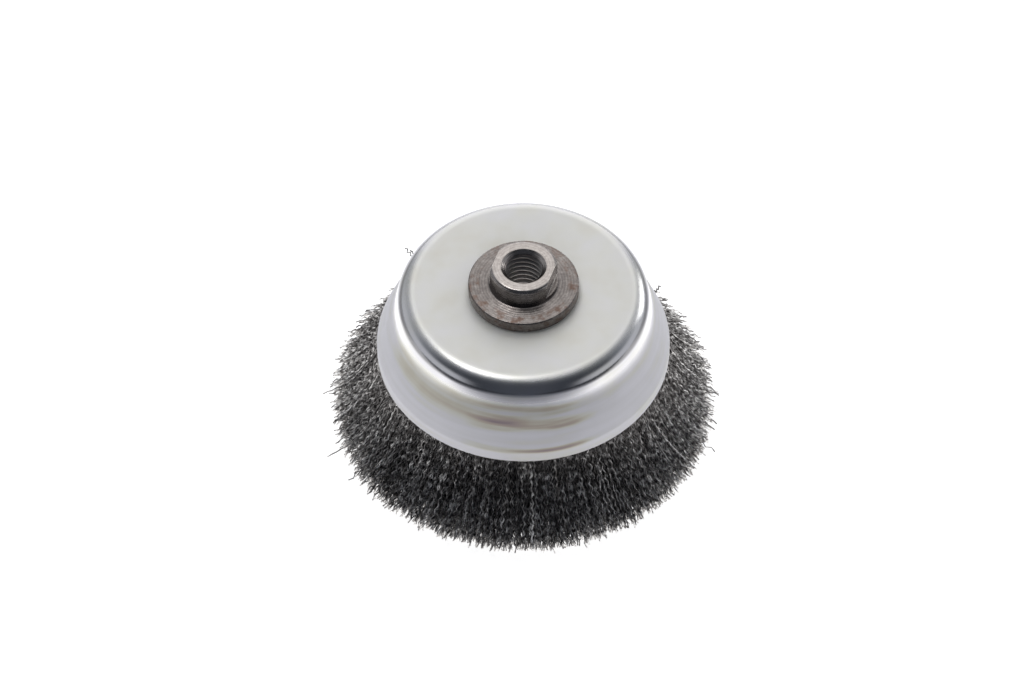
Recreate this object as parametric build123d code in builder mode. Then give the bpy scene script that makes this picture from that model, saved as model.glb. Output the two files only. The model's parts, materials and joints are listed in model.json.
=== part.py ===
from build123d import *
import os
from math import cos, radians, sin, tan

# Crimped-wire cup brush for an angle grinder: a pressed cup on a threaded hub, with a skirt of
# crimped steel wire folded over a ring and clamped between the cup and an inner cup.
# Millimetres, +Z up towards the grinder, origin in the middle of the plane the wire tips stand on.
# A section is drawn as (radius, height) on the XZ plane and turned about Z.

# Wire skirt
wire_length = 31.0  # free length, from the cup's rim to the tips
brush_r = 62.3  # outer tips: a 125 mm brush
tip_inner_r = 35.2  # inner tips
tip_flat_r = 43.0  # flat part of the trimmed face
tip_rise = 4.0  # outer wires lean out, so their tips stand higher
tip_bow = 0.3  # share of that rise reached half way out, because the trimmed face is bowed
bundle_count = 12
swing_in = 5.0  # degrees that a bundle of wires flexes towards the axis
swing_room = 15.0  # degrees of slope on a bundle's top, more than it flexes outwards
swing_gap = 0.3  # air between pieces that move past each other
packing_gap = 0.1  # between clamped wire and the sheet or ring that clamps it
same_edge = 0.01  # how close an edge is to a size or height to be picked by it

# Pressed cup, outside sizes
cup_rim_r = 47.5
cup_height = 28.4
cup_sheet = 1.2
cup_lip = 4.2  # upright part at the rim
cup_waist_r = 41.6
cup_waist_drop = 9.4  # from the cup's flat top down to its waist
cup_corner_r = 39.6  # where the flat top and the wall would meet with no rounding
cup_shoulder_bend = 6.3
cup_waist_bend = 25.0
cup_lip_bend = 3.0

# Inner cup, its face towards the wire
inner_sheet = 1.2
inner_corner_r = 25.5
inner_knee_r = 29.0
inner_knee_drop = 12.4  # from the cup's flat top
inner_skirt_r = 35.8
inner_skirt_lift = 1.5  # from the rim's plane up to the skirt's edge
inner_corner_bend = 3.0
inner_knee_bend = 8.0

# Anchor ring, round wire closed with a butt gap
ring_r = 34.0
ring_wire_r = 2.2
ring_drop = 9.0  # from the cup's flat top to the ring's centre
ring_gap_angle = 3.0

# Hub
thread_minor_r = 5.92  # M14 x 2
thread_lead_in = 1.4
collar_r = 11.0
collar_height = 7.7
collar_chamfer = 1.0
collar_root_fillet = 0.4
wrench_flats = 19.0
flat_floor = 1.6  # left standing between the flats and the flange
flat_angle = -19.0  # direction that one flat faces
flange_r = 17.7
flange_thickness = 3.9
flange_edge = 0.5
neck_r = 9.5
neck_clearance = 0.05
swage_r = 12.0
swage_depth = 1.8
swage_chamfer = 0.8

# Washer under the swaged neck
washer_r = 17.0
washer_thickness = 2.5

# Heights
rim_z = wire_length
cup_top_z = rim_z + cup_height
cup_under_z = cup_top_z - cup_sheet
washer_top_z = cup_under_z - inner_sheet
washer_under_z = washer_top_z - washer_thickness
swage_z = washer_under_z - swage_depth
flange_top_z = cup_top_z + flange_thickness
hub_top_z = flange_top_z + collar_height
ring_z = cup_top_z - ring_drop
neck_hole_r = neck_r + neck_clearance

# Section lines of the two pressed cups, from the hub's neck outwards and down
cup_corners = [
    (neck_hole_r, cup_top_z),
    (cup_corner_r, cup_top_z),
    (cup_waist_r, cup_top_z - cup_waist_drop),
    (cup_rim_r, rim_z + cup_lip),
    (cup_rim_r, rim_z),
]
inner_corners = [
    (neck_hole_r, cup_under_z),
    (inner_corner_r, cup_under_z),
    (inner_knee_r, cup_top_z - inner_knee_drop),
    (inner_skirt_r, rim_z + inner_skirt_lift),
]


def bends_with_room(corners, bends):
    """The bends, each made no larger than the straight runs beside its corner can hold."""
    points = [Vector(*corner) for corner in corners]
    taken = 0.0
    fitted = []
    for before, corner, after, bend in zip(points, points[1:], points[2:], bends):
        run_in, run_out = corner - before, after - corner
        reach = tan(radians(run_in.get_angle(run_out) / 2))
        fitted.append(min(bend, (run_in.length - taken) / reach, run_out.length / reach))
        taken = fitted[-1] * reach
    return fitted


def set_in(corners, bends, depth):
    """Corners and bends of the line that runs depth inside a section line."""
    points = [Vector(*corner) for corner in corners]
    runs = [(b - a).normalized() for a, b in zip(points, points[1:])]
    inward = [Vector(run.Y, -run.X) for run in runs]
    moved = [points[0] + inward[0] * depth]
    for point, first, second in zip(points[1:], inward, inward[1:]):
        moved.append(point + (first + second) * (depth / (1 + first.dot(second))))
    moved.append(points[-1] + inward[-1] * depth)
    turns = [first.cross(second).Z for first, second in zip(runs, runs[1:])]
    new_bends = [bend + depth if turn > 0 else bend - depth for bend, turn in zip(bends, turns)]
    return moved, new_bends


def pressed_section(corners, bends, sheet):
    """Face of a pressed sheet: its outer line, the line one sheet inside, and the two cut edges."""
    inner_points, inner_radii = set_in(corners, bends, sheet)
    with BuildSketch(Plane.XZ) as section:
        with BuildLine():
            outer = FilletPolyline(*corners, radius=bends)
            inner = FilletPolyline(*inner_points, radius=inner_radii)
            Line(outer @ 0, inner @ 0)
            Line(outer @ 1, inner @ 1)
        make_face()
    return section.sketch


cup_bends = bends_with_room(cup_corners, [cup_shoulder_bend, cup_waist_bend, cup_lip_bend])
inner_bends = bends_with_room(inner_corners, [inner_corner_bend, inner_knee_bend])


def save(piece, label):
    piece.part.label = label
    export_step(piece.part, f"parts/{label}.step")


os.makedirs("parts", exist_ok=True)

# Hub: collar with two wrench flats, flange, and a neck swaged over under the washer
with BuildPart() as hub_nut:
    with BuildSketch(Plane.XZ):
        with BuildLine():
            Polyline(
                (thread_minor_r, swage_z),
                (swage_r - swage_chamfer, swage_z),
                (swage_r, swage_z + swage_chamfer),
                (swage_r, washer_under_z),
                (neck_r, washer_under_z),
                (neck_r, cup_top_z),
                (flange_r, cup_top_z),
                (flange_r, flange_top_z),
                (collar_r, flange_top_z),
                (collar_r, hub_top_z),
                (thread_minor_r, hub_top_z),
                close=True,
            )
        make_face()
    revolve(axis=Axis.Z)
    rings = hub_nut.edges().filter_by(GeomType.CIRCLE)
    chamfer(rings.group_by(Axis.Z)[-1].sort_by(SortBy.RADIUS)[-1], collar_chamfer)
    mouths = hub_nut.edges().filter_by(lambda edge: edge.geom_type == GeomType.CIRCLE
                                       and abs(edge.radius - thread_minor_r) < same_edge)
    chamfer(mouths, thread_lead_in)
    flange_rings = hub_nut.edges().filter_by(GeomType.CIRCLE).filter_by_position(
        Axis.Z, flange_top_z - same_edge, flange_top_z + same_edge)
    fillet(flange_rings.sort_by(SortBy.RADIUS)[-1], flange_edge)
    fillet(flange_rings.sort_by(SortBy.RADIUS)[0], collar_root_fillet)
    for side in (0, 180):
        flat_plane = Plane.XY.offset(flange_top_z + flat_floor).rotated((0, 0, flat_angle + side))
        with BuildSketch(flat_plane):
            with Locations((wrench_flats / 2, 0)):
                Rectangle(collar_r, 3 * collar_r, align=(Align.MIN, Align.CENTER))
        extrude(amount=collar_height, mode=Mode.SUBTRACT)
save(hub_nut, "hub_nut")

# Pressed cup
with BuildPart() as cup_shell:
    add(pressed_section(cup_corners, cup_bends, cup_sheet))
    revolve(axis=Axis.Z)
save(cup_shell, "cup_shell")

# Inner cup, its flat middle against the underside of the pressed cup
with BuildPart() as inner_cup:
    add(pressed_section(inner_corners, inner_bends, inner_sheet))
    revolve(axis=Axis.Z)
save(inner_cup, "inner_cup")

# Anchor ring
with BuildPart() as anchor_ring:
    with BuildSketch(Plane.XZ):
        with Locations((ring_r, ring_z)):
            Circle(ring_wire_r)
    revolve(axis=Axis.Z, revolution_arc=360 - ring_gap_angle)
save(anchor_ring, "anchor_ring")

# Washer that spreads the swaged neck's load over the inner cup
with BuildPart() as rivet_washer:
    with BuildSketch(Plane.XY.offset(washer_under_z)):
        Circle(washer_r)
        Circle(neck_hole_r, mode=Mode.SUBTRACT)
    extrude(amount=washer_thickness)
save(rivet_washer, "rivet_washer")

# Clamped wire: fills the space between the two cups, folded over the anchor ring
root_points, root_bends = set_in(cup_corners, cup_bends, cup_sheet + packing_gap)
skirt_points, _ = set_in(inner_corners, inner_bends, -packing_gap)
root_top_z = root_points[1].Y
skirt_run = skirt_points[2] - skirt_points[1]
root_top_r = skirt_points[1].X + skirt_run.X * (root_top_z - skirt_points[1].Y) / skirt_run.Y
with BuildSketch(Plane.XZ) as root_section:
    with BuildLine():
        root_outer = FilletPolyline((root_top_r, root_top_z), *root_points[1:], radius=root_bends)
        Polyline(
            root_outer @ 1,
            (skirt_points[3].X, rim_z),
            skirt_points[3],
            skirt_points[2],
            root_outer @ 0,
        )
    make_face()
    with Locations((ring_r, ring_z)):
        Circle(ring_wire_r + packing_gap, mode=Mode.SUBTRACT)

# Free wire: a bundle flexes about a line in the middle of the mouth, so its top slopes away
# from that line on both sides, and the gap between bundles is wide enough at the tips
mouth_in_r = skirt_points[3].X
mouth_out_r = cup_rim_r - cup_sheet - packing_gap
pivot_r = (mouth_in_r + mouth_out_r) / 2
free_top_z = rim_z - swing_gap
mouth_slope_z = free_top_z - (mouth_out_r - pivot_r) * tan(radians(swing_room))
half_sector = 180 / bundle_count
neighbour_travel = 2 * wire_length * sin(radians(swing_in)) * sin(radians(half_sector))
bundle_gap = neighbour_travel + swing_gap
lean_mid_r = (tip_flat_r + brush_r) / 2
lean_mid_z = tip_bow * tip_rise
with BuildSketch(Plane.XZ) as free_section:
    with BuildLine():
        Polyline(
            (tip_flat_r, 0),
            (tip_inner_r, 0),
            (mouth_in_r, mouth_slope_z),
            (pivot_r, free_top_z),
            (mouth_out_r, mouth_slope_z),
            (brush_r, tip_rise),
        )
        ThreePointArc((brush_r, tip_rise), (lean_mid_r, lean_mid_z), (tip_flat_r, 0))
    make_face()


def wedge(gap, angle):
    """Sector of the brush at angle, with flat sides that leave gap between it and the next."""
    apex = gap / 2 / sin(radians(half_sector))
    reach = brush_r / cos(radians(half_sector)) + gap
    spread = (reach - apex) * tan(radians(half_sector))
    with BuildSketch(Plane.XY.rotated((0, 0, angle))) as outline:
        with BuildLine():
            Polyline((apex, 0), (reach, -spread), (reach, spread), close=True)
        make_face()
    return outline.sketch


for number in range(bundle_count):
    angle = number * 2 * half_sector

    with BuildPart() as wire_root:
        add(root_section.sketch)
        revolve(axis=Axis.Z)
        add(wedge(packing_gap, angle))
        extrude(amount=cup_top_z, mode=Mode.INTERSECT)
    save(wire_root, f"wire_root_{number + 1:02d}")

    with BuildPart() as wire_bundle:
        add(free_section.sketch)
        revolve(axis=Axis.Z)
        add(wedge(bundle_gap, angle))
        extrude(amount=cup_top_z, mode=Mode.INTERSECT)
    save(wire_bundle, f"wire_bundle_{number + 1:02d}")
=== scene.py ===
import json
import math

import bpy
import numpy as np
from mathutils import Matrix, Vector

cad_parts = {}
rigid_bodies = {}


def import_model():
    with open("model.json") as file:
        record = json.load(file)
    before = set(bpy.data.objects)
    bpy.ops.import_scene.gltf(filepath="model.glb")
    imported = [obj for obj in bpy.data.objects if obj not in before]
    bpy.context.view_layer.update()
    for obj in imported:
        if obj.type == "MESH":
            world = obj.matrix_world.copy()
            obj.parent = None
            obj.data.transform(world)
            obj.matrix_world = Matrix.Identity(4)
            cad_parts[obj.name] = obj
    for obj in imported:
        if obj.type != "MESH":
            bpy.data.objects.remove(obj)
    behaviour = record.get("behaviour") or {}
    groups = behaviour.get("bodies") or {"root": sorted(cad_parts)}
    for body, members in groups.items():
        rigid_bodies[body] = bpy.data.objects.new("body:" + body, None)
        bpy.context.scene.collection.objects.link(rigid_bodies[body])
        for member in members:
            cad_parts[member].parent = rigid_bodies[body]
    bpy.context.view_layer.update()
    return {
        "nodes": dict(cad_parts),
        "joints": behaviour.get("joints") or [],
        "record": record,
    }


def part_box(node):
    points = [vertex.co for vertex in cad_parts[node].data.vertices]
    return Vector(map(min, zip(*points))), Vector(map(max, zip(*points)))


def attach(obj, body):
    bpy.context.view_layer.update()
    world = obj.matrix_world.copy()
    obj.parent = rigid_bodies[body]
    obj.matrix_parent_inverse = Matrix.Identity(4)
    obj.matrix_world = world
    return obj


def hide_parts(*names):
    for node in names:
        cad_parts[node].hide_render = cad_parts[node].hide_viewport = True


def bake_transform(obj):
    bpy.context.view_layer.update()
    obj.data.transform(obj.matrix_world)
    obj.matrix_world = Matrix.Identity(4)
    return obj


# Crimped-wire cup brush. Blender units are metres, and sizes are written in millimetres times MM.
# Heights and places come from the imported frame; +Z points up to the grinder.

MM = 0.001
seed = 41
turned_segments = 192

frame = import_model()

cup_low, cup_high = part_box("cup_shell")
hub_low, hub_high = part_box("hub_nut")
ring_low, ring_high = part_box("anchor_ring")
inner_cup_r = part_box("inner_cup")[1].x
washer_under_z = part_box("rivet_washer")[0].z
mounts = {mount["name"]: mount for mount in frame["record"]["mounts"]}
hub_body = frame["joints"][0]["parent"]
bundle_count = len(frame["joints"])

# Cup sizes: the corners of the pressed line, and how each is rounded
rim_z = cup_low.z
cup_top_z = cup_high.z
cup_rim_r = cup_high.x
cup_sheet = 1.2 * MM
cup_hole_r = 9.55 * MM
shoulder_r = 39.6 * MM
waist_r = 41.6 * MM
waist_drop = 9.4 * MM
lip_height = 4.2 * MM
cup_bends = (6.3 * MM, 25.0 * MM, 3.0 * MM)  # shoulder, waist, lip
sheared_edge = 0.25 * MM

# Hub sizes
collar_r = 11.0 * MM
flange_r = hub_high.x
flange_top_z = cup_top_z + 3.9 * MM
thread_pitch = 2.0 * MM
thread_minor_r = mounts["spindle_thread"]["dims"]["r_mm"] * MM
thread_major_r = 7.0 * MM
thread_lead_in = 1.4 * MM
wrench_flats = 19.0 * MM
flat_floor_z = flange_top_z + 1.6 * MM
flat_angle = math.radians(-19.0)
neck_r = 9.5 * MM
swage_r = 12.0 * MM


# ---------------------------------------------------------------- materials

def colour(hex_code):
    """Linear colour of an sRGB hex value."""
    channels = [int(hex_code[i:i + 2], 16) / 255 for i in (0, 2, 4)]
    linear = [c / 12.92 if c <= 0.04045 else ((c + 0.055) / 1.055) ** 2.4 for c in channels]
    return (*linear, 1.0)


def add(tree, kind, settings=None, inputs=None):
    """One node: settings, a ramp's stops or a curve's points, inputs as values or links.

    A node given as an input stands for its first output.
    """
    made = tree.nodes.new(kind)
    for name, value in (settings or {}).items():
        if name == "stops":
            ramp = made.color_ramp.elements
            while len(ramp) < len(value):
                ramp.new(0.5)
            for element, (place, tone) in zip(ramp, value):
                element.position = place
                element.color = colour(tone)
        elif name == "points":
            curve = made.mapping.curves[0].points
            curve[0].location, curve[1].location = value[0], value[-1]
            for point in value[1:-1]:
                curve.new(*point)
            made.mapping.update()
        else:
            setattr(made, name, value)
    for name, value in (inputs or {}).items():
        if isinstance(value, bpy.types.Node):
            value = value.outputs[0]
        if isinstance(value, bpy.types.NodeSocket):
            tree.links.new(value, made.inputs[name])
        else:
            made.inputs[name].default_value = value
    return made


def new_material(name):
    """An empty material: its tree, and its object coordinates in millimetres."""
    material = bpy.data.materials.new(name)
    material.use_nodes = True
    tree = material.node_tree
    tree.nodes.clear()
    place = add(tree, "ShaderNodeTexCoord")
    in_mm = add(tree, "ShaderNodeVectorMath", {"operation": "SCALE"},
                {0: place.outputs["Object"], "Scale": 1 / MM})
    return material, tree, in_mm


def finish_metal(tree, base, roughness, normal, metallic=1.0):
    """Metal surface with that colour, roughness and bumped normal."""
    surface = add(tree, "ShaderNodeBsdfPrincipled", None,
                  {"Base Color": base, "Metallic": metallic, "Roughness": roughness,
                   "Normal": normal})
    add(tree, "ShaderNodeOutputMaterial", None, {"Surface": surface})


def zinc_plated_steel():
    """Deep-drawn sheet steel, bright zinc plated and thinly passivated.

    The eye sees a pale satin metal, glossier where the shoulder was stretched over the punch.
    The passivation film is so thin that it tints: silver, then straw, rose, mauve and blue as
    it gets thicker, in clouds and in level streaks that follow the draw of the wall.
    """
    material, tree, place = new_material("zinc_plated_steel")
    axes = add(tree, "ShaderNodeSeparateXYZ", None, {0: place})
    # film thickness by height, from the rim up to the flat top
    height = add(tree, "ShaderNodeMapRange", None,
                 {0: axes.outputs["Z"], 1: rim_z / MM, 2: cup_top_z / MM})
    by_height = add(tree, "ShaderNodeFloatCurve", {"points": [
        (0.0, 0.14), (0.12, 0.12), (0.40, 0.08), (0.62, 0.14), (0.80, 0.14), (0.93, 0.16),
        (1.0, 0.24)]}, {"Value": height})
    # it drained towards the front while it dried, so the film is thicker there
    drain_way = Vector((0.05, -1.0, 0.0)).normalized()
    level = add(tree, "ShaderNodeCombineXYZ", None, {0: axes.outputs["X"], 1: axes.outputs["Y"]})
    outwards = add(tree, "ShaderNodeVectorMath", {"operation": "NORMALIZE"}, {0: level})
    facing = add(tree, "ShaderNodeVectorMath", {"operation": "DOT_PRODUCT"},
                 {0: outwards, 1: drain_way})
    drained = add(tree, "ShaderNodeMapRange", {"interpolation_type": "SMOOTHSTEP"},
                  {0: facing.outputs["Value"], 1: 0.86, 2: 0.99})
    # and it pooled higher up on the front left
    pool_way = Vector((-0.68, -0.73, 0.0)).normalized()
    pool_facing = add(tree, "ShaderNodeVectorMath", {"operation": "DOT_PRODUCT"},
                      {0: outwards, 1: pool_way})
    pool_round = add(tree, "ShaderNodeMapRange", {"interpolation_type": "SMOOTHSTEP"},
                     {0: pool_facing.outputs["Value"], 1: 0.80, 2: 1.0})
    pool_height = add(tree, "ShaderNodeFloatCurve", {"points": [
        (0.0, 0.0), (0.38, 0.0), (0.46, 0.22), (0.60, 0.24), (0.74, 0.06), (0.82, 0.0),
        (1.0, 0.0)]}, {"Value": height})
    pooled = add(tree, "ShaderNodeMath", {"operation": "MULTIPLY"},
                 {0: pool_round, 1: pool_height})
    # clouds 12 mm across, and streaks 2 mm high and 30 mm long
    clouds = add(tree, "ShaderNodeTexNoise", None,
                 {"Vector": place, "Scale": 1 / 12, "Detail": 2.0, "Roughness": 0.55})
    round_angle = add(tree, "ShaderNodeMath", {"operation": "ARCTAN2"},
                      {0: axes.outputs["Y"], 1: axes.outputs["X"]})
    along = add(tree, "ShaderNodeMath", {"operation": "MULTIPLY"},
                {0: round_angle, 1: 2.8})
    wrapped = add(tree, "ShaderNodeCombineXYZ", None, {0: axes.outputs["Z"], 1: along})
    streaks = add(tree, "ShaderNodeTexNoise", None,
                  {"Vector": wrapped, "Scale": 1 / 2.6, "Detail": 1.5, "Roughness": 0.5})
    on_wall = add(tree, "ShaderNodeMapRange", None,
                  {0: axes.outputs["Z"], 1: cup_top_z / MM - 3, 2: cup_top_z / MM - 9,
                   3: 0.0, 4: 1.0})
    streak_depth = add(tree, "ShaderNodeMapRange", {"clamp": False},
                       {0: streaks, 1: 0.5, 2: 0.75, 3: 0.0, 4: 0.12})
    cloud_depth = add(tree, "ShaderNodeMapRange", {"clamp": False},
                      {0: clouds, 1: 0.5, 2: 0.75, 3: 0.0, 4: 0.06})
    front_band = add(tree, "ShaderNodeFloatCurve", {"points": [
        (0.0, 0.06), (0.10, 0.04), (0.17, 0.50), (0.24, 0.02), (0.36, 0.04), (0.46, 0.62),
        (0.53, 0.40), (0.66, 0.22), (0.86, 0.0), (1.0, 0.0)]}, {"Value": height})
    drain_here = add(tree, "ShaderNodeMath", {"operation": "MULTIPLY"},
                     {0: front_band, 1: drained})
    patchy = add(tree, "ShaderNodeMapRange", None,
                 {0: streaks, 1: 0.38, 2: 0.62, 3: 0.15, 4: 1.0})
    drain_patch = add(tree, "ShaderNodeMath", {"operation": "MULTIPLY"},
                      {0: drain_here, 1: patchy})
    streak_here = add(tree, "ShaderNodeMath", {"operation": "MULTIPLY"},
                      {0: streak_depth, 1: on_wall})
    film = by_height
    for extra in (drain_patch, pooled, streak_here, cloud_depth):
        film = add(tree, "ShaderNodeMath", {"operation": "ADD"}, {0: film, 1: extra})
    base = add(tree, "ShaderNodeValToRGB", {"stops": [
        (0.0, "EAE9EE"), (0.12, "E5E4E8"), (0.24, "E2E1DC"), (0.36, "D8D4C8"), (0.48, "C9BEB2"),
        (0.60, "BEAFAB"), (0.74, "A6979C"), (0.95, "A0A1B0")]}, {0: film})
    # glossy where the shoulder bends, duller on the flat and on the drawn wall
    gloss = add(tree, "ShaderNodeFloatCurve", {"points": [
        (0.0, 0.68), (0.48, 0.66), (0.64, 0.54), (0.72, 0.34), (0.80, 0.18), (0.94, 0.20),
        (1.0, 0.50)]}, {"Value": height})
    grain = add(tree, "ShaderNodeTexNoise", None,
                {"Vector": place, "Scale": 1 / 4, "Detail": 2.0, "Roughness": 0.5})
    duller = add(tree, "ShaderNodeMapRange", {"clamp": False},
                 {0: grain, 1: 0.3, 2: 0.7, 3: -0.02, 4: 0.02})
    roughness = add(tree, "ShaderNodeMath", {"operation": "ADD"},
                    {0: gloss, 1: duller})
    bump = add(tree, "ShaderNodeBump", None,
               {"Strength": 0.06, "Distance": 0.1 * MM, "Height": grain})
    # where the plating is dull its crystals scatter part of the light
    metallic = add(tree, "ShaderNodeFloatCurve", {"points": [
        (0.0, 0.45), (0.46, 0.50), (0.60, 0.75), (0.72, 1.0), (0.94, 1.0), (1.0, 0.35)]},
        {"Value": height})
    finish_metal(tree, base, roughness, bump, metallic)
    return material


def turned_steel():
    """Bare mild steel turned on a lathe, its flats milled and its thread tapped, oiled.

    The eye sees a warm grey with rings from the tool, paler on the freshly faced collar and the
    milled flats, and brown rust in a broken ring round the flange. The bore is painted paler the
    deeper it goes, a painted highlight standing in for light on the thread crests. The
    real feed is about 0.1 mm a turn; rings 0.9 mm apart are drawn so that they show.
    """
    material, tree, place = new_material("turned_steel")
    axes = add(tree, "ShaderNodeSeparateXYZ", None, {0: place})
    level = add(tree, "ShaderNodeCombineXYZ", None, {0: axes.outputs["X"], 1: axes.outputs["Y"]})
    radius = add(tree, "ShaderNodeVectorMath", {"operation": "LENGTH"}, {0: level})
    along = add(tree, "ShaderNodeMath", {"operation": "ADD"},
                {0: radius.outputs["Value"], 1: axes.outputs["Z"]})
    wobble = add(tree, "ShaderNodeTexNoise", None,
                 {"Vector": place, "Scale": 1 / 6, "Detail": 2.0})
    feed = add(tree, "ShaderNodeMath", {"operation": "MULTIPLY_ADD"},
               {0: wobble, 1: 0.8, 2: along})
    turns = add(tree, "ShaderNodeMath", {"operation": "MULTIPLY"},
                {0: feed, 1: 2 * math.pi / 0.9})
    rings = add(tree, "ShaderNodeMath", {"operation": "SINE"}, {0: turns})
    marks = add(tree, "ShaderNodeTexNoise", None,
                {"Vector": place, "Scale": 1 / 1.3, "Detail": 5.0, "Roughness": 0.65})
    worn = add(tree, "ShaderNodeMath", {"operation": "MULTIPLY_ADD"},
               {0: rings, 1: 0.06, 2: marks})
    steel = add(tree, "ShaderNodeValToRGB", {"stops": [
        (0.3, "6E6866"), (0.5, "7F7976"), (0.7, "938D8A")]}, {0: worn})
    # rust: a broken ring near the flange's edge
    ring_in = add(tree, "ShaderNodeMapRange", {"interpolation_type": "SMOOTHSTEP"},
                  {0: radius.outputs["Value"], 1: 13.6, 2: 14.9})
    blotch = add(tree, "ShaderNodeTexNoise", None,
                 {"Vector": place, "Scale": 1 / 4, "Detail": 6.0, "Roughness": 0.7})
    rusty = add(tree, "ShaderNodeMapRange", None,
                {0: blotch, 1: 0.48, 2: 0.62, 3: 0.0, 4: 0.6})
    rust_here = add(tree, "ShaderNodeMath", {"operation": "MULTIPLY"},
                    {0: ring_in, 1: rusty})
    rusted = add(tree, "ShaderNodeMix", {"data_type": "RGBA"},
                 {0: rust_here, 6: steel, 7: colour("6A4C3A")})
    # faced collar top and milled flats: paler
    flat_way = Vector((math.cos(flat_angle), math.sin(flat_angle), 0))
    across = add(tree, "ShaderNodeVectorMath", {"operation": "DOT_PRODUCT"},
                 {0: place, 1: flat_way})
    off_axis = add(tree, "ShaderNodeMath", {"operation": "ABSOLUTE"}, {0: across.outputs["Value"]})
    on_flat = add(tree, "ShaderNodeMath", {"operation": "COMPARE"},
                  {0: off_axis, 1: wrench_flats / 2 / MM, 2: 0.05})
    above_floor = add(tree, "ShaderNodeMath", {"operation": "GREATER_THAN"},
                      {0: axes.outputs["Z"], 1: flat_floor_z / MM - 0.05})
    milled = add(tree, "ShaderNodeMath", {"operation": "MULTIPLY"},
                 {0: on_flat, 1: above_floor})
    faced = add(tree, "ShaderNodeMath", {"operation": "GREATER_THAN"},
                {0: axes.outputs["Z"], 1: hub_high.z / MM - 1.05})
    fresh = add(tree, "ShaderNodeMath", {"operation": "MAXIMUM"},
                {0: milled, 1: faced})
    pale = add(tree, "ShaderNodeValToRGB", {"stops": [(0.3, "9C9591"), (0.7, "B6B0AC")]},
               {0: worn})
    brighter = add(tree, "ShaderNodeMix", {"data_type": "RGBA"},
                   {0: milled, 6: pale, 7: colour("DEDAD6")})
    refreshed = add(tree, "ShaderNodeMix", {"data_type": "RGBA"},
                    {0: fresh, 6: rusted.outputs[2], 7: brighter.outputs[2]})
    # the tapped thread: painted paler the deeper it goes, a painted highlight for the lit crests,
    # and dulled by oil
    in_bore = add(tree, "ShaderNodeMath", {"operation": "LESS_THAN"},
                  {0: radius.outputs["Value"], 1: thread_major_r / MM + 0.1})
    painted_light_with_depth = add(tree, "ShaderNodeMapRange", None,
                      {0: axes.outputs["Z"], 1: hub_high.z / MM - 1.0, 2: hub_high.z / MM - 7.0})
    tapped_oil_and_painted_light = add(tree, "ShaderNodeMath", {"operation": "MULTIPLY"},
                 {0: in_bore, 1: painted_light_with_depth})
    base = add(tree, "ShaderNodeMix", {"data_type": "RGBA"},
               {0: tapped_oil_and_painted_light, 6: refreshed.outputs[2], 7: colour("BDB8B4")})
    dulled = add(tree, "ShaderNodeMath", {"operation": "MAXIMUM"},
                 {0: rust_here, 1: tapped_oil_and_painted_light})
    roughness = add(tree, "ShaderNodeMapRange", None,
                    {0: dulled, 1: 0.0, 2: 0.7, 3: 0.26, 4: 0.48})
    bump = add(tree, "ShaderNodeBump", None,
               {"Strength": 0.3, "Distance": 0.02 * MM, "Height": rings})
    finish_metal(tree, base.outputs[2], roughness, bump)
    return material


def rolled_steel():
    """Bare cold-rolled steel, as on the washer and the ring: mid grey with a dull grain."""
    material, tree, place = new_material("rolled_steel")
    grain = add(tree, "ShaderNodeTexNoise", None,
                {"Vector": place, "Scale": 1 / 1.5, "Detail": 4.0, "Roughness": 0.6})
    base = add(tree, "ShaderNodeValToRGB", {"stops": [(0.3, "7E7B78"), (0.7, "9B9894")]},
               {0: grain})
    roughness = add(tree, "ShaderNodeMapRange", None,
                    {0: grain, 1: 0.3, 2: 0.7, 3: 0.32, 4: 0.5})
    bump = add(tree, "ShaderNodeBump", None,
               {"Strength": 0.2, "Distance": 0.03 * MM, "Height": grain})
    finish_metal(tree, base, roughness, bump)
    return material


def crimped_wire_steel():
    """Drawn high-carbon steel wire, crimped between rollers and left oily.

    The eye sees dark grey lengths, each a slightly different tone, that sparkle where a crimp
    turns to the light. The tone is an attribute, one value for each wire. Painted highlights add
    bright dashes along each wire, and painted shade darkens the wires at the cup's mouth.
    """
    material, tree, place = new_material("crimped_wire_steel")
    tone = add(tree, "ShaderNodeAttribute", {"attribute_name": "wire_tone"})
    # painted highlights: bright and dark dashes painted along each wire where the crimps' glints
    # would be
    painted_glint_noise = add(tree, "ShaderNodeTexNoise", None,
                 {"Vector": place, "Scale": 1 / 1.6, "Detail": 1.0, "Roughness": 0.5})
    painted_glints = add(tree, "ShaderNodeMapRange", {"clamp": False},
              {0: painted_glint_noise, 1: 0.35, 2: 0.65, 3: -0.38, 4: 0.38})
    tone_here = add(tree, "ShaderNodeMath", {"operation": "MULTIPLY_ADD"},
                    {0: tone.outputs["Fac"], 1: 0.6, 2: painted_glints})
    # painted shade and light: the wires are painted darker up at the cup's mouth, under its lip,
    # and paler towards the tips
    axes = add(tree, "ShaderNodeSeparateXYZ", None, {0: place})
    painted_mouth_shade_tip_light = add(tree, "ShaderNodeMapRange", None,
                  {0: axes.outputs["Z"], 1: rim_z / MM, 2: 2.0, 3: -0.08, 4: 0.56})
    tone_here = add(tree, "ShaderNodeMath", {"operation": "ADD", "use_clamp": True},
                    {0: tone_here, 1: painted_mouth_shade_tip_light})
    base = add(tree, "ShaderNodeValToRGB", {"stops": [
        (0.0, "5C5958"), (0.30, "757271"), (0.55, "A19E9D"), (0.80, "CAC7C5"),
        (1.0, "FAF8F6")]}, {0: tone_here})
    grime = add(tree, "ShaderNodeTexNoise", None,
                {"Vector": place, "Scale": 1 / 0.8, "Detail": 2.0})
    roughness = add(tree, "ShaderNodeMapRange", None,
                    {0: grime, 1: 0.3, 2: 0.7, 3: 0.24, 4: 0.40})
    bump = add(tree, "ShaderNodeBump", None,
               {"Strength": 0.15, "Distance": 0.02 * MM, "Height": grime})
    finish_metal(tree, base, roughness, bump)
    return material


# ---------------------------------------------------------------- turned and pressed pieces

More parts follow.
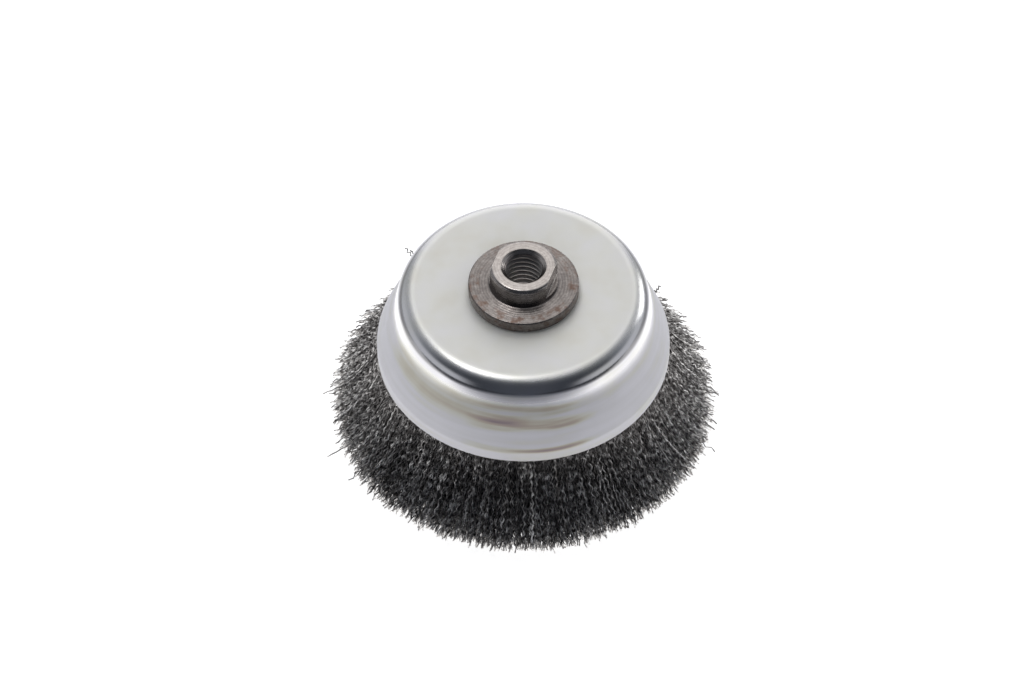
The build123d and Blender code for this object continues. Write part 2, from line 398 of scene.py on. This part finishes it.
def turned(name, rings):
    """Closed solid of revolution: a circle extruded from ring to ring of (radius, height)."""
    bpy.ops.object.select_all(action="DESELECT")
    radius, height = rings[0]
    bpy.ops.mesh.primitive_circle_add(vertices=turned_segments, radius=radius,
                                      location=(0, 0, height))
    piece = bpy.context.object
    piece.name = name
    bpy.ops.object.transform_apply(location=True, rotation=True, scale=True)
    bpy.ops.object.mode_set(mode="EDIT")
    bpy.ops.mesh.select_all(action="SELECT")
    for next_radius, next_height in rings[1:] + rings[:1]:
        bpy.ops.mesh.extrude_region_move(
            TRANSFORM_OT_translate={"value": (0, 0, next_height - height)})
        growth = next_radius / radius
        bpy.ops.transform.resize(value=(growth, growth, 1), center_override=(0, 0, next_height))
        radius, height = next_radius, next_height
    bpy.ops.mesh.select_all(action="SELECT")
    bpy.ops.mesh.remove_doubles(threshold=0.001 * MM)
    bpy.ops.mesh.normals_make_consistent(inside=False)
    bpy.ops.object.mode_set(mode="OBJECT")
    return piece


def rounded(corners, bends, steps=10):
    """Points along a line of corners, each inner corner rounded to its bend's radius."""
    points = [Vector(corner) for corner in corners]
    line = [points[0]]
    for before, corner, after, bend in zip(points, points[1:], points[2:], bends):
        back, on = (before - corner).normalized(), (after - corner).normalized()
        half = back.angle(on) / 2
        centre = corner + (back + on).normalized() * (bend / math.sin(half))
        start = corner + back * (bend / math.tan(half)) - centre
        turn = start.angle_signed(corner + on * (bend / math.tan(half)) - centre)
        for step in range(steps + 1):
            angle = -turn * step / steps
            line.append(centre + Vector((
                start.x * math.cos(angle) - start.y * math.sin(angle),
                start.x * math.sin(angle) + start.y * math.cos(angle))))
    line.append(points[-1])
    return line


def sheet_section(line, sheet):
    """Closed section of a pressed sheet: the line, then back along it one sheet inside."""
    inside = []
    for i, point in enumerate(line):
        run = (line[min(i + 1, len(line) - 1)] - line[max(i - 1, 0)]).normalized()
        inside.append(point + Vector((run.y, -run.x)) * sheet)
    return [tuple(p) for p in line] + [tuple(p) for p in reversed(inside)]


def apply_modifier(piece, kind, **settings):
    """One modifier with its settings, applied."""
    bpy.ops.object.select_all(action="DESELECT")
    piece.select_set(True)
    bpy.context.view_layer.objects.active = piece
    modifier = piece.modifiers.new(kind.title(), kind)
    for name, value in settings.items():
        setattr(modifier, name, value)
    bpy.ops.object.modifier_apply(modifier=modifier.name)


def smooth(piece, degrees=32):
    """Smooth shading, with every edge sharper than that angle kept crisp."""
    bpy.ops.object.select_all(action="DESELECT")
    piece.select_set(True)
    bpy.context.view_layer.objects.active = piece
    bpy.ops.object.shade_smooth_by_angle(angle=math.radians(degrees))


def give(piece, material, body, slot, *nodes):
    """Material, body, record slot (not used) and the CAD nodes that the piece stands for."""
    piece.data.materials.clear()
    piece.data.materials.append(material)
    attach(piece, body)
    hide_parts(*nodes)


def make_cup(material):
    """Pressed cup: flat top, round shoulder, waisted wall and a short upright lip."""
    corners = [
        (cup_hole_r, cup_top_z),
        (shoulder_r, cup_top_z),
        (waist_r, cup_top_z - waist_drop),
        (cup_rim_r, rim_z + lip_height),
        (cup_rim_r, rim_z),
    ]
    line = rounded(corners, cup_bends)
    cup = turned("cup", sheet_section(line, cup_sheet))
    apply_modifier(cup, "BEVEL", width=sheared_edge, segments=2, limit_method="ANGLE",
                   angle_limit=math.radians(50))
    smooth(cup)
    give(cup, material, hub_body, "zinc_plated_steel", "cup_shell")


def cut(piece, tool):
    """The tool's shape cut out of the piece, and the tool removed. Both are closed meshes."""
    apply_modifier(piece, "BOOLEAN", operation="DIFFERENCE", solver="MANIFOLD", object=tool)
    bpy.data.objects.remove(tool, do_unlink=True)


def thread_tap():
    """Helix of the M14 x 2 thread's groove, screwed up the bore and cut off at the lead-in."""
    overlap = 0.12 * MM
    inside_r = thread_minor_r - overlap
    mouth_half = 0.875 * thread_pitch / 2 + overlap * math.tan(math.radians(30))
    section = [
        (inside_r, -mouth_half),
        (thread_major_r, -thread_pitch / 16),
        (thread_major_r, thread_pitch / 16),
        (inside_r, mouth_half),
    ]
    turns = math.ceil((hub_high.z - hub_low.z) / thread_pitch) + 2
    mesh = bpy.data.meshes.new("thread_tap")
    start_z = hub_low.z - thread_pitch
    mesh.from_pydata([(r, 0, start_z + z) for r, z in section],
                     [(0, 1), (1, 2), (2, 3), (3, 0)], [])
    tap = bpy.data.objects.new("thread_tap", mesh)
    bpy.context.collection.objects.link(tap)
    apply_modifier(tap, "SCREW", angle=2 * math.pi, screw_offset=thread_pitch, iterations=turns,
                   steps=96, render_steps=96, use_merge_vertices=False, use_normal_calculate=True)
    bpy.ops.object.mode_set(mode="EDIT")
    bpy.ops.mesh.select_all(action="SELECT")
    bpy.ops.mesh.remove_doubles(threshold=0.0005 * MM)
    bpy.ops.mesh.select_all(action="DESELECT")
    bpy.ops.mesh.select_non_manifold(extend=False)
    bpy.ops.mesh.fill_holes(sides=4)
    bpy.ops.mesh.select_all(action="SELECT")
    bpy.ops.mesh.normals_make_consistent(inside=False)
    bpy.ops.object.mode_set(mode="OBJECT")
    bpy.ops.object.select_all(action="DESELECT")
    above = turns * thread_pitch
    bpy.ops.mesh.primitive_cube_add(
        size=above, location=(0, 0, hub_high.z - thread_lead_in + above / 2))
    cut(tap, bpy.context.object)
    return tap


def make_hub(material):
    """Hub nut: turned blank, two milled wrench flats, then the thread tapped through it."""
    chamfer = 1.0 * MM
    edge = 0.45 * MM
    under_edge = 0.3 * MM
    fillet = 0.4 * MM
    top, low = hub_high.z, hub_low.z
    blank = turned("hub", [
        (thread_minor_r, low + thread_lead_in),
        (thread_minor_r + thread_lead_in, low),
        (swage_r - 1.5 * MM, low),
        (swage_r - 0.5 * MM, low + 0.4 * MM),
        (swage_r, low + 1.1 * MM),
        (swage_r, washer_under_z),
        (neck_r, washer_under_z),
        (neck_r, cup_top_z),
        (flange_r - under_edge, cup_top_z),
        (flange_r, cup_top_z + under_edge),
        (flange_r, flange_top_z - edge),
        (flange_r - 0.13 * edge, flange_top_z - 0.5 * edge),
        (flange_r - 0.5 * edge, flange_top_z - 0.13 * edge),
        (flange_r - edge, flange_top_z),
        (collar_r + fillet, flange_top_z),
        (collar_r + 0.3 * fillet, flange_top_z + 0.3 * fillet),
        (collar_r, flange_top_z + fillet),
        (collar_r, top - chamfer),
        (collar_r - 0.25 * chamfer, top - 0.5 * chamfer),
        (collar_r - 0.6 * chamfer, top - 0.15 * chamfer),
        (collar_r - chamfer, top),
        (thread_minor_r + thread_lead_in, top),
        (thread_minor_r, top - thread_lead_in),
    ])
    for side in (0, math.pi):
        bpy.ops.object.select_all(action="DESELECT")
        reach = wrench_flats / 2 + collar_r
        angle = flat_angle + side
        bpy.ops.mesh.primitive_cube_add(
            size=1, rotation=(0, 0, angle),
            location=(reach * math.cos(angle), reach * math.sin(angle),
                      (flat_floor_z + top) / 2 + 1 * MM))
        mill = bpy.context.object
        mill.scale = (2 * collar_r, 4 * collar_r, top - flat_floor_z + 2 * MM)
        bpy.ops.object.transform_apply(location=True, rotation=True, scale=True)
        cut(blank, mill)
    cut(blank, thread_tap())
    smooth(blank)
    give(blank, material, hub_body, "turned_steel", "hub_nut")


# ---------------------------------------------------------------- crimped wire

wire_r = 0.26 * MM
crimp_height = 0.42 * MM
crimp_turn = math.radians(55)  # most crimps lie within this of sideways
mouth_gap = 0.35 * MM
mouth_out_r = cup_rim_r - cup_sheet - mouth_gap
mouth_in_r = inner_cup_r + mouth_gap
trimmed_off = 0.2 * MM
length_spread = 0.011
outer_lean = math.radians(31.5)
inner_lean = math.radians(-1.5)
lean_spread = 2.0  # degrees
front_set = 6.2  # degrees: the front was pressed a little further out in use
free_points = 21
wire_layers = 24
layer_spacing = (0.66 * MM, 0.88 * MM)  # between wires in the outermost and innermost layer
clump_size = 2.2 * MM
clump_pull = 0.25
wander = (0.0, 0.25 * MM, 0.40 * MM, 0.55 * MM)  # mouth, a third, two thirds, tip
tip_scatter = 0.50 * MM
# a few wires pulled loose when the brush was trimmed: angle round, length in mm, lean
strays = ((129.0, 14.0, 66.0), (131.5, 13.0, 80.0), (34.0, 12.0, 48.0), (31.0, 16.0, 40.0),
          (205.0, 33.0, 46.0), (214.0, 32.0, 43.0), (338.0, 32.0, 41.0))


def wire_layout(random):
    """Mouth angle and share across the mouth of every wire, layer by layer from outside in."""
    angles, shares = [], []
    for layer in range(wire_layers):
        inwards = (layer / (wire_layers - 1)) ** 1.5
        radius = mouth_out_r + (mouth_in_r - mouth_out_r) * inwards
        spacing = layer_spacing[0] + (layer_spacing[1] - layer_spacing[0]) * inwards
        count = round(2 * math.pi * radius / spacing)
        places = np.arange(count) + random.uniform(-0.35, 0.35, count)
        angles.append(places * 2 * math.pi / count)
        shares.append(1 - inwards + random.uniform(-0.4, 0.4, count) / (wire_layers - 1))
    return np.concatenate(angles) % (2 * math.pi), np.clip(np.concatenate(shares), 0, 1)


def clumped(angles, tip_r, random):
    """How far each tip moves, round and outwards, to gather with its neighbours."""
    reach = tip_r.max() - tip_r.min()
    rows = max(2, round(reach / clump_size))
    centres = []
    for row in range(rows + 1):
        radius = tip_r.min() + reach * row / rows
        count = round(2 * math.pi * radius / clump_size)
        turn = (np.arange(count) + random.uniform(-0.4, 0.4, count)) * 2 * math.pi / count
        out = radius + random.uniform(-0.35, 0.35, count) * clump_size
        centres.append(np.stack([out * np.cos(turn), out * np.sin(turn)], 1))
    centres = np.concatenate(centres)
    tips = np.stack([tip_r * np.cos(angles), tip_r * np.sin(angles)], 1)
    gap = tips[:, None, :] - centres[None, :, :]
    nearest = (gap ** 2).sum(2).argmin(1)
    return (centres[nearest] - tips) * clump_pull, nearest, len(centres)


def wire_mesh(name, paths, twist, tones):
    """One mesh of three-sided tubes, one along each path of points, with closed ends."""
    count, points, _ = paths.shape
    run = np.gradient(paths, axis=1)
    run /= np.linalg.norm(run, axis=2, keepdims=True)
    level = np.cross(run, np.array([0.0, 0.0, 1.0]))
    level /= np.maximum(np.linalg.norm(level, axis=2, keepdims=True), 1e-9)
    other = np.cross(run, level)
    corners = []
    for side in range(3):
        angle = twist[:, None, None] + side * 2 * math.pi / 3
        corners.append(paths + wire_r * (np.cos(angle) * level + np.sin(angle) * other))
    vertices = np.stack(corners, 2).reshape(-1, 3)
    first = (np.arange(count) * points * 3)[:, None, None]
    at = np.arange(points - 1)[None, :, None] * 3
    side = np.arange(3)[None, None, :]
    a = first + at + side
    b = first + at + (side + 1) % 3
    quads = np.stack([a, b, b + 3, a + 3], -1).reshape(-1, 4)
    start = first[:, 0, 0]
    root_caps = np.stack([start + 2, start + 1, start], 1)
    end = start + (points - 1) * 3
    tip_caps = np.stack([end, end + 1, end + 2], 1)
    caps = np.concatenate([root_caps, tip_caps])
    mesh = bpy.data.meshes.new(name)
    mesh.vertices.add(len(vertices))
    mesh.vertices.foreach_set("co", vertices.astype(np.float32).ravel())
    mesh.loops.add(quads.size + caps.size)
    mesh.loops.foreach_set("vertex_index", np.concatenate([quads.ravel(), caps.ravel()]))
    mesh.polygons.add(len(quads) + len(caps))
    starts = np.concatenate([np.arange(len(quads)) * 4, quads.size + np.arange(len(caps)) * 3])
    mesh.polygons.foreach_set("loop_start", starts)
    smooth_faces = np.concatenate([np.ones(len(quads), bool), np.zeros(len(caps), bool)])
    mesh.polygons.foreach_set("use_smooth", smooth_faces)
    mesh.update(calc_edges=True)
    tone = mesh.attributes.new("wire_tone", "FLOAT", "POINT")
    tone.data.foreach_set("value", np.repeat(tones, points * 3).astype(np.float32))
    return mesh


def lean_out(shares, lengths, leans, random):
    """Radius and height along each free wire, and how far along and how steep each point is."""
    count = len(shares)
    mouth = mouth_in_r + (mouth_out_r - mouth_in_r) * shares
    start = -1.5 * MM * (1 + random.uniform(0, 1, count))
    along = start[:, None] + (lengths - start)[:, None] * np.linspace(0, 1, free_points)[None, :]
    share = np.clip(along / lengths[:, None], 0, 1)
    step = np.diff(along, axis=1, prepend=along[:, :1])
    lean = leans[:, None] * (0.5 + 1.0 * share)
    radius = mouth[:, None] + np.cumsum(step * np.sin(lean), 1) + start[:, None] * 0.2
    height = rim_z - np.cumsum(step * np.cos(lean), 1) - start[:, None]
    return radius, height, share, lean


def wandering(share, random):
    """Slow sideways drift of each wire, growing from its mouth to its tip."""
    stations = np.array(wander)[None, :] * random.normal(0, 1, (len(share), len(wander)))
    at = share * (len(wander) - 1)
    before = np.clip(at.astype(int), 0, len(wander) - 2)
    rows = np.arange(len(share))[:, None]
    ease = at - before
    ease = ease * ease * (3 - 2 * ease)
    return stations[rows, before] * (1 - ease) + stations[rows, before + 1] * ease


def folded_ends(angles, shares):
    """Two points of each wire inside the cup: over the top of the anchor ring, and beside it."""
    ring_wire = (ring_high.z - ring_low.z) / 2
    ring_mid_r = ring_high.x - ring_wire
    ring_z = ring_low.z + ring_wire
    outside = shares > 0.5
    depth = np.abs(shares - 0.5) * 2
    beside = ring_mid_r + np.where(outside, 1, -1) * (ring_wire + wire_r + depth * 2.4 * MM)
    over = ring_mid_r + np.where(outside, -1, 1) * 0.3 * MM
    over_z = ring_z + ring_wire + wire_r + depth * 3.2 * MM
    level = np.stack([np.cos(angles), np.sin(angles), np.zeros(len(angles))], 1)
    up = np.array([[0.0, 0.0, 1.0]])
    return np.stack([level * over[:, None] + up * over_z[:, None],
                     level * beside[:, None] + up * ring_z], 1)


def make_wires(material):
    """Twelve pieces of wire, one for each bundle's sector round the cup."""
    random = np.random.RandomState(seed)
    angles, shares = wire_layout(random)
    lengths = rim_z * (1 + random.normal(0, length_spread, len(angles))) - trimmed_off
    leans = inner_lean + (outer_lean - inner_lean) * shares
    leans += np.radians(random.normal(0, lean_spread, len(angles)))
    leans += np.radians(front_set) * shares * np.clip(-np.sin(angles), 0, 1) ** 2
    for angle, length, lean in strays:
        angles = np.append(angles, math.radians(angle))
        shares = np.append(shares, 1.0)
        lengths = np.append(lengths, length * MM)
        leans = np.append(leans, math.radians(lean))
    count = len(angles)
    radius, height, share, lean = lean_out(shares, lengths, leans, random)
    pull, clump, clumps = clumped(angles, radius[:, -1], random)
    pull += random.normal(0, tip_scatter, pull.shape)
    pull[-len(strays):] = 0
    bend = share ** 1.7
    clump_lift = random.uniform(-0.6, 1.0, clumps)[clump] * MM
    # crimp: the wire steps from side to side in a plane of its own
    plane = random.uniform(-crimp_turn, crimp_turn, count)[:, None]
    first_side = random.randint(0, 2, count)[:, None]
    side = np.where((np.arange(free_points)[None, :] + first_side) % 2, 1, -1)
    crimp = crimp_height * random.uniform(0.7, 1.2, (count, 1)) * side
    crimp = crimp * random.uniform(0.85, 1.15, crimp.shape)
    crimp[:, -1] *= 0.3
    round_step = crimp * np.cos(plane) + wandering(share, random)
    out_step = crimp * np.sin(plane) + wandering(share, random) * 0.6
    turn = angles[:, None]
    out_radius = radius + np.cos(lean) * out_step
    x = out_radius * np.cos(turn) - np.sin(turn) * round_step + pull[:, :1] * bend
    y = out_radius * np.sin(turn) + np.cos(turn) * round_step + pull[:, 1:] * bend
    z = height + np.sin(lean) * out_step + clump_lift[:, None] * bend
    free = np.stack([x, y, np.maximum(z, wire_r + 0.05 * MM)], 2)
    paths = np.concatenate([folded_ends(angles, shares), free], 1)
    twist = random.uniform(0, 2 * math.pi, count)
    tones = random.beta(1.6, 2.2, count)
    sector = np.round(angles / (2 * math.pi / bundle_count)).astype(int) % bundle_count
    for number in range(bundle_count):
        here = sector == number
        label = f"{number + 1:02d}"
        mesh = wire_mesh(f"wires_{label}", paths[here], twist[here], tones[here])
        piece = bpy.data.objects.new(f"wires_{label}", mesh)
        bpy.context.collection.objects.link(piece)
        mesh.materials.append(material)
        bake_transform(piece)
        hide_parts(f"wire_root_{label}", f"wire_bundle_{label}")


# ---------------------------------------------------------------- studio

def make_floor():
    """Plain white table. The brush sees it lit close by and fading away on all sides."""
    bpy.ops.object.select_all(action="DESELECT")
    bpy.ops.mesh.primitive_plane_add(size=8.0, location=(0, 0, -0.05 * MM))
    floor = bpy.context.object
    floor.name = "floor"
    material, tree, place = new_material("white_table")
    axes = add(tree, "ShaderNodeSeparateXYZ", None, {0: place})
    forward = add(tree, "ShaderNodeMapRange", None, {0: axes.outputs["Y"], 1: -80, 2: -480})
    light_here = add(tree, "ShaderNodeValToRGB", {"stops": [
        (0.0, "FFFFFF"), (0.05, "D8D8DA"), (0.10, "A0A1A4"), (0.17, "78797D"),
        (0.30, "5D5F64"), (0.60, "4D5056"), (1.0, "3C3F46")]}, {0: forward})
    behind = add(tree, "ShaderNodeMapRange", {"interpolation_type": "SMOOTHSTEP"},
                 {0: axes.outputs["Y"], 1: 30, 2: 90})
    lit_floor = add(tree, "ShaderNodeMix", {"data_type": "RGBA"},
                    {0: behind, 6: light_here, 7: colour("C6C7CA")})
    aside = add(tree, "ShaderNodeMath", {"operation": "ABSOLUTE"}, {0: axes.outputs["X"]})
    strength = add(tree, "ShaderNodeMapRange", {"interpolation_type": "SMOOTHSTEP"},
                   {0: aside, 1: 60, 2: 210, 3: 1.6, 4: 0.45})
    glow = add(tree, "ShaderNodeEmission", None,
               {0: lit_floor.outputs[2], 1: strength})
    surface = add(tree, "ShaderNodeBsdfPrincipled", None,
                  {"Base Color": colour("F0F0F0"), "Roughness": 0.9,
                   "Emission Color": colour("FFFFFF"), "Emission Strength": 0.78})
    path = add(tree, "ShaderNodeLightPath")
    mixed = add(tree, "ShaderNodeMixShader", None,
                {0: path.outputs["Is Camera Ray"], 1: glow, 2: surface})
    add(tree, "ShaderNodeOutputMaterial", None, {"Surface": mixed})
    floor.data.materials.append(material)


def make_world():
    """White strip from overhead down behind the brush, pale screens at both sides, dark front."""
    world = bpy.data.worlds.new("studio")
    bpy.context.scene.world = world
    world.use_nodes = True
    tree = world.node_tree
    tree.nodes.clear()
    direction = add(tree, "ShaderNodeTexCoord")
    axes = add(tree, "ShaderNodeSeparateXYZ", None, {0: direction.outputs["Generated"]})
    backward = add(tree, "ShaderNodeMapRange", None, {0: axes.outputs["Y"], 1: -0.5, 2: 0.5})
    strip = add(tree, "ShaderNodeValToRGB", {"stops": [
        (0.0, "3A3D44"), (0.18, "3E4249"), (0.33, "8A8D92"), (0.50, "BCBEC1"), (0.66, "E6E7E8"),
        (0.90, "FFFFFF")]}, {0: backward})
    aside = add(tree, "ShaderNodeMath", {"operation": "ABSOLUTE"}, {0: axes.outputs["X"]})
    off_strip = add(tree, "ShaderNodeMapRange", {"interpolation_type": "SMOOTHSTEP"},
                    {0: aside, 1: 0.18, 2: 0.54})
    room = add(tree, "ShaderNodeValToRGB", {"stops": [
        (0.0, "303338"), (0.27, "3D4046"), (0.58, "63676D"), (0.90, "8A8D92")]},
        {0: backward})
    roomy = add(tree, "ShaderNodeMix", {"data_type": "RGBA"},
                {0: off_strip, 6: strip, 7: room})
    sideways = add(tree, "ShaderNodeMapRange", {"interpolation_type": "SMOOTHSTEP"},
                   {0: aside, 1: 0.55, 2: 0.85})
    low = add(tree, "ShaderNodeMapRange", {"interpolation_type": "SMOOTHSTEP"},
              {0: axes.outputs["Z"], 1: 0.55, 2: 0.30})
    screen = add(tree, "ShaderNodeMath", {"operation": "MULTIPLY"},
                 {0: sideways, 1: low})
    screened = add(tree, "ShaderNodeMix", {"data_type": "RGBA"},
                   {0: screen, 6: roomy.outputs[2], 7: colour("A2A4A8")})
    sweep = add(tree, "ShaderNodeMapRange", {"interpolation_type": "SMOOTHSTEP"},
                {0: axes.outputs["Y"], 1: 0.84, 2: 0.97})
    toned = add(tree, "ShaderNodeMix", {"data_type": "RGBA"},
                {0: sweep, 6: screened.outputs[2], 7: colour("F4F4F8")})
    lit = add(tree, "ShaderNodeBackground", None, {0: toned.outputs[2], 1: 1.35})
    seen = add(tree, "ShaderNodeBackground", None, {0: colour("FFFFFF"), 1: 1.0})
    path = add(tree, "ShaderNodeLightPath")
    mixed = add(tree, "ShaderNodeMixShader", None,
                {0: path.outputs["Is Camera Ray"], 1: lit, 2: seen})
    add(tree, "ShaderNodeOutputWorld", None, {0: mixed})


def make_light(name, place, size, watts, mirrored=True):
    """Soft square light aimed at the cup, out of the camera's sight; metal may mirror it."""
    data = bpy.data.lights.new(name, "AREA")
    data.size = size
    data.energy = watts
    light = bpy.data.objects.new(name, data)
    bpy.context.collection.objects.link(light)
    light.visible_camera = False
    light.visible_glossy = mirrored
    light.location = place
    aim = Vector((0, 0, rim_z)) - Vector(place)
    light.rotation_euler = aim.to_track_quat("-Z", "Y").to_euler()


def make_camera():
    """Long lens from above the front, looking down at 50 degrees."""
    elevation = math.radians(50.15)
    distance = 1299.2 * MM
    target = Vector((-3.69 * MM, 0, rim_z + 2.65 * MM))
    data = bpy.data.cameras.new("camera")
    data.sensor_width = 36.0
    data.lens = 140.625
    data.clip_start = 0.05
    data.clip_end = 50.0
    camera = bpy.data.objects.new("camera", data)
    bpy.context.collection.objects.link(camera)
    back = Vector((0, -math.cos(elevation), math.sin(elevation)))
    camera.location = target + back * distance
    camera.rotation_euler = (-back).to_track_quat("-Z", "Y").to_euler()
    bpy.context.scene.camera = camera


zinc = zinc_plated_steel()
steel = turned_steel()
rolled = rolled_steel()
wire = crimped_wire_steel()
make_cup(zinc)
make_hub(steel)
for node, material in (("inner_cup", zinc), ("rivet_washer", rolled), ("anchor_ring", rolled)):
    cad_piece = frame["nodes"][node]
    cad_piece.data.materials.clear()
    cad_piece.data.materials.append(material)
make_wires(wire)
make_floor()
make_world()
make_light("softbox_left", (-0.24, 0.13, 1.0), 0.30, 1.2)
make_light("card_right", (0.60, 0.45, 0.30), 0.30, 0.5)
make_light("fill_front", (-0.10, -1.2, 0.40), 0.8, 4.0, mirrored=False)
make_camera()
bpy.context.scene.view_settings.view_transform = "Standard"
